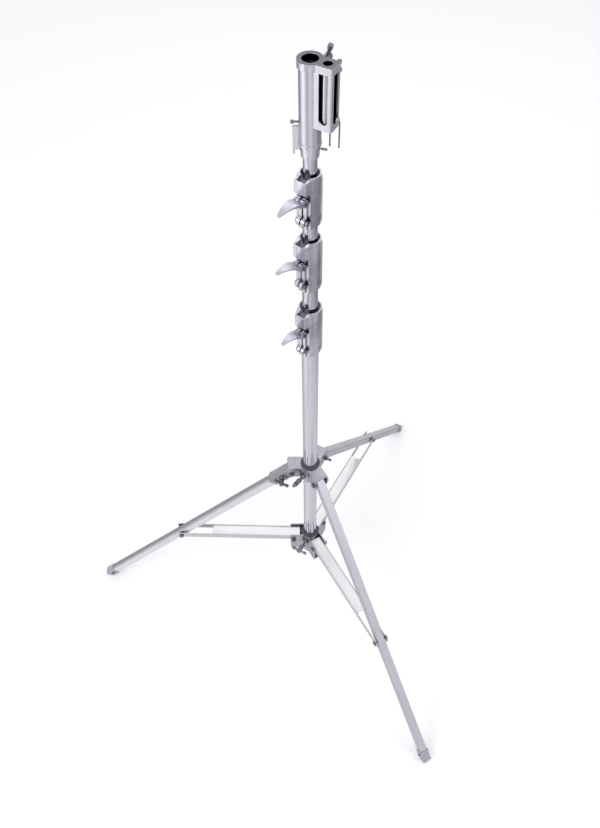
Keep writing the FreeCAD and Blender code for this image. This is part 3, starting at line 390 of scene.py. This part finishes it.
def eased_copy(node, width, top_material=None):
    """A copy of a CAD node whose sharp edges are rounded over, as a casting's or a blank's are."""
    source = NODES[node]
    work = bmesh.new()
    work.from_mesh(source.data)
    for layer in list(work.loops.layers.uv.values()):
        work.loops.layers.uv.remove(layer)
    bmesh.ops.remove_doubles(work, verts=work.verts, dist=WELD)
    bmesh.ops.dissolve_limit(work, angle_limit=math.radians(FLAT_WITHIN), verts=work.verts,
                             edges=work.edges)
    mesh = finish_mesh(node + "_eased", work, 180.0)
    custom = mesh.attributes.get("custom_normal")
    if custom:
        mesh.attributes.remove(custom)
    body = BODY_OF[node]
    materials = [material_for(node)] + ([top_material] if top_material else [])
    piece = bpy.data.objects.new(node + "_eased", mesh)
    bpy.context.scene.collection.objects.link(piece)
    bevel = piece.modifiers.new("ease", "BEVEL")
    bevel.width = width
    bevel.segments = 2
    bevel.limit_method = "ANGLE"
    bevel.angle_limit = math.radians(EASED_FROM)
    bevel.use_clamp_overlap = True
    bevel.miter_outer = "MITER_ARC"
    piece.modifiers.new("flatten", "WEIGHTED_NORMAL")
    depsgraph = bpy.context.evaluated_depsgraph_get()
    eased = bpy.data.meshes.new_from_object(piece.evaluated_get(depsgraph), depsgraph=depsgraph)
    bpy.data.objects.remove(piece)
    bpy.data.meshes.remove(mesh)
    eased.name = node + "_eased"
    eased.materials.clear()
    piece = new_object(node + "_eased", eased, body, materials)
    if top_material:
        for polygon in eased.polygons:
            polygon.material_index = 1 if polygon.normal.z > FACES_UP else 0
    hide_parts(node)
    return piece


# Rounding of each kind of piece's edges: cast, pressed, turned or moulded.
EASED = {
    "lower_hub": 0.9, "upper_hub": 0.9, "levelling_sleeve": 0.5, "junior_socket": 0.5,
    "baby_bracket": 0.6, "baby_socket_tube": 0.3,
}
for node_name in NODES:
    if node_name.endswith("_collar_body"):
        EASED[node_name] = 0.7
    if node_name.endswith("_collar_lever"):
        EASED[node_name] = 0.6
    if node_name.startswith("brace_") and node_name.endswith("_channel"):
        EASED[node_name] = 0.35
    if node_name.startswith("leg_") and node_name.endswith("_foot"):
        EASED[node_name] = 0.8
    if SLOT_OF[node_name] == "fastener_steel":
        EASED[node_name] = 0.4
for node_name, eased_width in EASED.items():
    eased_copy(node_name, eased_width * MM)
eased_copy("head_top_plate", 0.35 * MM, MATERIALS["head_plate"])


# ---------------------------------------------------------------- turned, threaded and welded details
def frame_matrix(origin, axis):
    """A frame at origin whose local Z runs along axis."""
    turn = Vector(axis).normalized().to_track_quat("Z", "X").to_matrix().to_4x4()
    return Matrix.Translation(origin) @ turn


def rim_vertex(work, matrix, radius, angle, height):
    point = Vector((radius * math.cos(angle), radius * math.sin(angle), height))
    return work.verts.new(matrix @ point)


def skin(work, rows):
    """Joins rows of vertices, each a closed ring, into one skin with closed ends."""
    count = len(rows[0])
    for first, second in zip(rows, rows[1:]):
        for i in range(count):
            j = (i + 1) % count
            work.faces.new((first[i], first[j], second[j], second[i]))
    work.faces.new(list(reversed(rows[0])))
    work.faces.new(rows[-1])


def revolve(work, matrix, profile, sides=32, ridge=0.0, ridges=0):
    """A solid of revolution from (height, radius) pairs. Ridges run lengthwise, as on a knurl."""
    rows = []
    for height, radius, *bare in profile:
        depth = 0.0 if bare else ridge
        row = []
        for i in range(sides):
            angle = 2 * math.pi * i / sides
            r = radius + depth * (0.5 + 0.5 * math.cos(ridges * angle))
            row.append(rim_vertex(work, matrix, r, angle, height))
        rows.append(row)
    skin(work, rows)


def thread(work, matrix, length, radius, pitch, depth, sides=20, steps=6):
    """A screw thread along local Z: the crest winds round once for each pitch."""
    rows = []
    count = int(length / pitch * steps) + 1
    for k in range(count + 1):
        height = length * k / count
        run_out = min(1.0, (length - height) / pitch, height / pitch + 0.4)
        row = []
        for i in range(sides):
            share = (height / pitch - i / sides) % 1.0
            tooth = 1.0 - 2.0 * abs(share - 0.5)
            r = radius - depth * (1.0 - tooth * run_out)
            angle = 2 * math.pi * i / sides
            row.append(rim_vertex(work, matrix, r, angle, height))
        rows.append(row)
    skin(work, rows)


def bead(work, start, end, radius, pitch=2.6, sides=10):
    """A weld bead along a straight seam: a row of flat overlapping ripples."""
    axis = end - start
    matrix = frame_matrix(start, axis)
    length = axis.length
    count = int(length / MM / pitch * 5)
    rows = []
    for k in range(count + 1):
        share = k / count
        height = length * share
        ripple = 0.84 + 0.16 * abs(math.sin(math.pi * height / MM / pitch))
        fade = math.sqrt(max(0.05, 1 - abs(2 * share - 1) ** 14))
        row = []
        for i in range(sides):
            angle = 2 * math.pi * i / sides
            r = radius * ripple * fade
            row.append(rim_vertex(work, matrix, r, angle, height))
        rows.append(row)
    skin(work, rows)


def polar(radius, azimuth, z, side=0.0):
    """A point in the row frame from millimetres: along an azimuth, off to its left, and up."""
    a = math.radians(azimuth)
    x = radius * math.cos(a) - side * math.sin(a)
    y = radius * math.sin(a) + side * math.cos(a)
    return Vector((x, y, z)) * MM


def heading(azimuth):
    return Vector((math.cos(math.radians(azimuth)), math.sin(math.radians(azimuth)), 0))


def leg_point(azimuth, along, side=0.0, off=0.0):
    """A point on a leg's own frame: along it from the pivot, off to its left, and above it."""
    pitch = math.radians(LEG_PITCH)
    radial = LEG_PIVOT_R + along * math.cos(pitch) + off * math.sin(pitch)
    height = LEG_PIVOT_Z - along * math.sin(pitch) + off * math.cos(pitch)
    return polar(radial, azimuth, height, side)


THREAD_PITCH = 1.25
BOLT_R = 4.0
GRIP_R = 6.8


def hand_screw(node, start, axis, gap, radius, boss_radius, boss_length):
    """The bare thread of a hand screw and, gap millimetres on, the knurled boss of its handle."""
    body = BODY_OF[node]
    work = bmesh.new()
    frame_at = frame_matrix(start, axis)
    thread(work, frame_at, (gap + 0.6) * MM, (radius + 0.25) * MM, THREAD_PITCH * MM,
           0.55 * MM)
    new_object(node + "_thread", finish_mesh(node + "_thread", work, 25), body,
               [MATERIALS["fastener_steel"]])
    work = bmesh.new()
    grip = boss_radius + 0.12
    foot = gap + 0.02
    profile = [(foot, grip - 1.2, 1), (foot + 0.9, grip, 1), (foot + 1.6, grip, 1), (foot + 2.0, grip),
               (foot + boss_length, grip), (foot + boss_length + 0.4, grip, 1)]
    revolve(work, frame_at, [(h * MM, r * MM, *b) for h, r, *b in profile], 96, 0.30 * MM, 24)
    new_object(node + "_knurl", finish_mesh(node + "_knurl", work, 30), body,
               [MATERIALS["fastener_steel"]])


def bolt_tail(work, start, axis, length, radius):
    """The threaded end that shows beyond a nut."""
    thread(work, frame_matrix(start, axis), length * MM, (radius + 0.12) * MM, THREAD_PITCH * MM,
           0.5 * MM)


def washer_ring(work, centre, axis, inner, outer, thick):
    """A flat washer with softened rims."""
    matrix = frame_matrix(centre, axis)
    soft = 0.25
    profile = [(0, inner), (0, outer - soft), (soft, outer), (thick - soft, outer),
               (thick, outer - soft), (thick, inner)]
    revolve(work, matrix, [(h * MM, r * MM) for h, r in profile], 32)


# Node, azimuth, height, and the radius at which its cross bar sits.
HUB_SCREWS = (("hub_lock_screw", -130.0, 752.0, 64.0), ("lower_hub_screw", -121.0, 322.0, 72.0))
HUB_THREAD_START_R = 38.0
HUB_HANDLE_LENGTH = 18.0
LEVELLING_SCREW_AT = 44.0
SLEEVE_FACE = 21.5
SOCKET_SCREW = (0.0, 1985.0, 30.0)
BABY_SCREW = (31.8, 1982.0, 22.0)
SHORT_THREAD = 3.0


def add_hand_screws():
    for node, azimuth, z, bar_at in HUB_SCREWS:
        gap = bar_at - HUB_HANDLE_LENGTH - HUB_THREAD_START_R
        start = polar(HUB_THREAD_START_R, azimuth, z)
        hand_screw(node, start, heading(azimuth), gap, BOLT_R, GRIP_R, 9.0)
    start = leg_point(LEGS["left"], LEVELLING_SCREW_AT, SLEEVE_FACE)
    hand_screw("levelling_screw", start, heading(-90.0), SHORT_THREAD, BOLT_R, GRIP_R, 2.5)
    back = heading(HEAD_AZIMUTH + 90.0)
    radial, z, side = SOCKET_SCREW
    start = polar(radial, HEAD_AZIMUTH, z, side)
    hand_screw("socket_t_screw", start, back, SHORT_THREAD, BOLT_R, GRIP_R, 16.0)
    radial, z, side = BABY_SCREW
    start = polar(radial, HEAD_AZIMUTH, z, side)
    hand_screw("baby_t_screw", start, back, SHORT_THREAD, 3.0, 5.1, 4.5)


# Seams, each as (radius, distance to either side, lowest point, highest point, bead radius).
HUB_SEAMS = {"upper_hub": (20.5, 20.5, 745.0, 786.0, 1.7), "lower_hub": (17.9, 22.8, 263.0, 350.0, 1.7)}
BRACKET_SEAM = (13.2, 15.0, 1901.0, 1998.0, 1.1)
FIN_SEAM = (19.8, 3.2, 1865.0, 1891.0, 0.9)
FIN_AZIMUTH = 180.0


def seam(work, azimuth, sign, sizes):
    radial, side, z0, z1, radius = sizes
    start = polar(radial, azimuth, z0, sign * side)
    bead(work, start, polar(radial, azimuth, z1, sign * side), radius * MM)


def add_welds():
    """Seams of the hubs' cheeks, of the bracket and of the fin."""
    for node, sizes in HUB_SEAMS.items():
        work = bmesh.new()
        for azimuth in LEGS.values():
            for sign in (-1, 1):
                seam(work, azimuth, sign, sizes)
        new_object(node + "_welds", finish_mesh(node + "_welds", work, 60), BODY_OF[node],
                   [MATERIALS["hub_steel"]])
    work = bmesh.new()
    for sign in (-1, 1):
        seam(work, HEAD_AZIMUTH, sign, BRACKET_SEAM)
        seam(work, FIN_AZIMUTH, sign, FIN_SEAM)
    new_object("head_welds", finish_mesh("head_welds", work, 60), "riser_top",
               [MATERIALS["head_chrome"]])


# The wiper's section as (radius, height), and how high each one sits.
WIPER = [(20.8, 0.0), (28.2, 0.0), (28.2, 1.4), (27.2, 2.4), (23.6, 2.4), (22.0, 3.4), (20.8, 3.4)]
WIPER_SEATS = (("upper_hub", 790.05), ("lower_hub", 352.05))
WIPER_SIDES = 64


def add_wipers():
    """Lipped rubber rings on top of both hubs, round the column."""
    for node, base in WIPER_SEATS:
        work = bmesh.new()
        rings = []
        for i in range(WIPER_SIDES):
            angle = 2 * math.pi * i / WIPER_SIDES
            points = [Vector((r * math.cos(angle), r * math.sin(angle), base + z)) for r, z in WIPER]
            rings.append([work.verts.new(point * MM) for point in points])
        for i in range(WIPER_SIDES):
            here, there = rings[i], rings[(i + 1) % WIPER_SIDES]
            for j in range(len(WIPER)):
                k = (j + 1) % len(WIPER)
                work.faces.new((here[j], there[j], there[k], here[k]))
        new_object(node + "_wiper", finish_mesh(node + "_wiper", work, 30), BODY_OF[node],
                   [MATERIALS["hub_nylon"]])


WASHER_R = 8.4
WASHER_THICK = 0.6
# Distances from the bolt's middle: end of the nut, face under the nut, face under the head.
BRACE_BOLT = (29.2, 22.8, -23.4)
LEG_BOLT = (26.9, 20.5, -21.1)
BRACE_TAIL = 2.6
# Leg, side of the nut, and length of thread beyond it.
LEG_TAILS = (("rear", -1, 13.6), ("front", 1, 0.6))


def pivot_bolt(work, radius, azimuth, z, sign, places, tail):
    """A tail beyond a pivot bolt's nut, and the two washers, on a bolt that crosses a fork."""
    end, nut_face, head_face = (polar(radius, azimuth, z, sign * place) for place in places)
    across = heading(azimuth + sign * 90.0)
    bolt_tail(work, end, across, tail, BOLT_R)
    washer_ring(work, nut_face, across, BOLT_R, WASHER_R, WASHER_THICK)
    washer_ring(work, head_face, across, BOLT_R, WASHER_R, WASHER_THICK)


def add_thread_piece(node, work):
    new_object(node + "_threads", finish_mesh(node + "_threads", work, 25), BODY_OF[node],
               [MATERIALS["fastener_steel"]])


def add_bolt_details():
    """Thread ends beyond the nuts and washers under heads and nuts."""
    work = bmesh.new()
    for azimuth in LEGS.values():
        pivot_bolt(work, BRACE_PIVOT_R, azimuth, BRACE_PIVOT_Z, 1, BRACE_BOLT, BRACE_TAIL)
    add_thread_piece("brace_pivot_bolts", work)
    work = bmesh.new()
    for leg, sign, tail in LEG_TAILS:
        pivot_bolt(work, LEG_PIVOT_R, LEGS[leg], LEG_PIVOT_Z, sign, LEG_BOLT, tail)
    add_thread_piece("leg_pivot_bolts", work)


add_hand_screws()
add_welds()
add_wipers()
add_bolt_details()


# ---------------------------------------------------------------- studio
# Brightness round the foot of the shell, which a standing tube's lower half mirrors. Positions run
# from west (0) through south (0.25), east (0.5) and north (0.75) to west again (1).
FOOT_PANELS = [(0.0, 0.76), (0.08, 0.92), (0.14, 0.90), (0.25, 0.82), (0.45, 0.78), (0.60, 0.66),
               (0.76, 0.58), (0.90, 0.60), (1.0, 0.76)]
# Cards and dark gaps round the middle of the shell, which the head, risers and collars mirror.
WALL_PANELS = [(0.0, 0.95), (0.045, 1.30), (0.085, 1.15), (0.144, 0.62), (0.19, 0.60), (0.245, 0.88),
               (0.33, 0.55), (0.385, 0.58), (0.48, 0.34), (0.56, 0.27), (0.68, 0.62), (0.78, 0.64),
               (0.88, 0.32), (0.935, 0.42), (1.0, 0.95)]
# Brightness from the foot of the shell (0) through the horizon (0.5) to the ceiling (1).
HIGH_SHELL = [(0.0, 0.70), (0.30, 0.72), (0.50, 0.82), (0.72, 0.80), (0.88, 0.96), (1.0, 1.0)]
FOOT_BLEND = (-0.80, -0.72)
WALL_BLEND = (-0.50, -0.34)


def make_floor():
    mesh = bpy.data.meshes.new("floor")
    half = 9.0
    mesh.from_pydata([(-half, -half, 0), (half, -half, 0), (half, half, 0), (-half, half, 0)], [],
                     [(0, 1, 2, 3)])
    floor = bpy.data.objects.new("floor", mesh)
    bpy.context.scene.collection.objects.link(floor)
    floor.visible_glossy = False
    material, nodes = new_material("pale_floor")
    shader = nodes.add("ShaderNodeBsdfPrincipled")
    shader.inputs["Base Color"].default_value = (0.97, 0.97, 0.97, 1)
    shader.inputs["Roughness"].default_value = 0.9
    shader.inputs["Specular IOR Level"].default_value = 0.1
    output = nodes.add("ShaderNodeOutputMaterial")
    nodes.link(shader.outputs["BSDF"], output.inputs["Surface"])
    mesh.materials.append(material)


def grey_stops(stops):
    """Studio greys with a faint lilac cast."""
    return [(position, (value, value * 0.99, value * 1.02)) for position, value in stops]


def make_world():
    """A studio shell: bright ceiling, panels of different greys round the lower walls.

    The camera itself sees a pale backdrop; the metal reflects the shell.
    """
    world = bpy.data.worlds.new("studio")
    bpy.context.scene.world = world
    world.use_nodes = True
    world.node_tree.nodes.clear()
    nodes = Nodes(world.node_tree)
    coords = nodes.add("ShaderNodeTexCoord")
    split = nodes.add("ShaderNodeSeparateXYZ")
    nodes.link(coords.outputs["Generated"], split.inputs["Vector"])
    angle = nodes.math("ARCTAN2", split.outputs["Y"], split.outputs["X"])
    turn = remap(nodes, angle, 0.0, 1.0, -math.pi, math.pi)
    foot = ramp(nodes, turn, grey_stops(FOOT_PANELS))
    wall = ramp(nodes, turn, grey_stops(WALL_PANELS))
    low = mix_colour(nodes, remap(nodes, split.outputs["Z"], 0.0, 1.0, *FOOT_BLEND), foot, wall)
    height = remap(nodes, split.outputs["Z"], 0.0, 1.0, -1.0, 1.0)
    high = ramp(nodes, height, grey_stops(HIGH_SHELL))
    shell = mix_colour(nodes, remap(nodes, split.outputs["Z"], 0.0, 1.0, *WALL_BLEND), low, high)
    reflected = nodes.add("ShaderNodeBackground")
    nodes.link(shell, reflected.inputs["Color"])
    reflected.inputs["Strength"].default_value = 1.0
    seen = nodes.add("ShaderNodeBackground")
    seen.inputs["Color"].default_value = (1.0, 1.0, 1.0, 1)
    path = nodes.add("ShaderNodeLightPath")
    mixer = nodes.add("ShaderNodeMixShader")
    nodes.link(path.outputs["Is Camera Ray"], mixer.inputs["Fac"])
    nodes.link(reflected.outputs["Background"], mixer.inputs[1])
    nodes.link(seen.outputs["Background"], mixer.inputs[2])
    output = nodes.add("ShaderNodeOutputWorld")
    nodes.link(mixer.outputs["Shader"], output.inputs["Surface"])


def area_light(name, location, target, size, power):
    data = bpy.data.lights.new(name, "AREA")
    data.shape = "RECTANGLE"
    data.size, data.size_y = size
    data.energy = power
    light = bpy.data.objects.new(name, data)
    light.location = location
    light.rotation_euler = (Vector(target) - Vector(location)).to_track_quat("-Z", "Y").to_euler()
    bpy.context.scene.collection.objects.link(light)
    return light


def make_camera():
    """The photographer stands close and high: 55 degrees down, from 0.64 m above the head."""
    data = bpy.data.cameras.new("camera")
    data.lens = 32.35
    data.sensor_width = 36.0
    data.shift_x = -0.0123
    data.clip_start = 0.05
    camera = bpy.data.objects.new("camera", data)
    camera.location = (0.0, -1.137, 2.648)
    camera.rotation_euler = (math.radians(35.2), 0.0, 0.0)
    bpy.context.scene.collection.objects.link(camera)
    bpy.context.scene.camera = camera


make_floor()
make_world()
make_camera()
area_light("key", (-2.6, -2.4, 3.4), (0, 0, 1.0), (2.4, 2.4), 50)
area_light("fill", (3.0, -1.2, 2.6), (0, 0, 1.0), (2.4, 2.4), 15)
area_light("back", (0.6, 3.4, 3.2), (0, 0, 1.0), (3.0, 1.6), 14)
bpy.context.scene.view_settings.view_transform = "Standard"
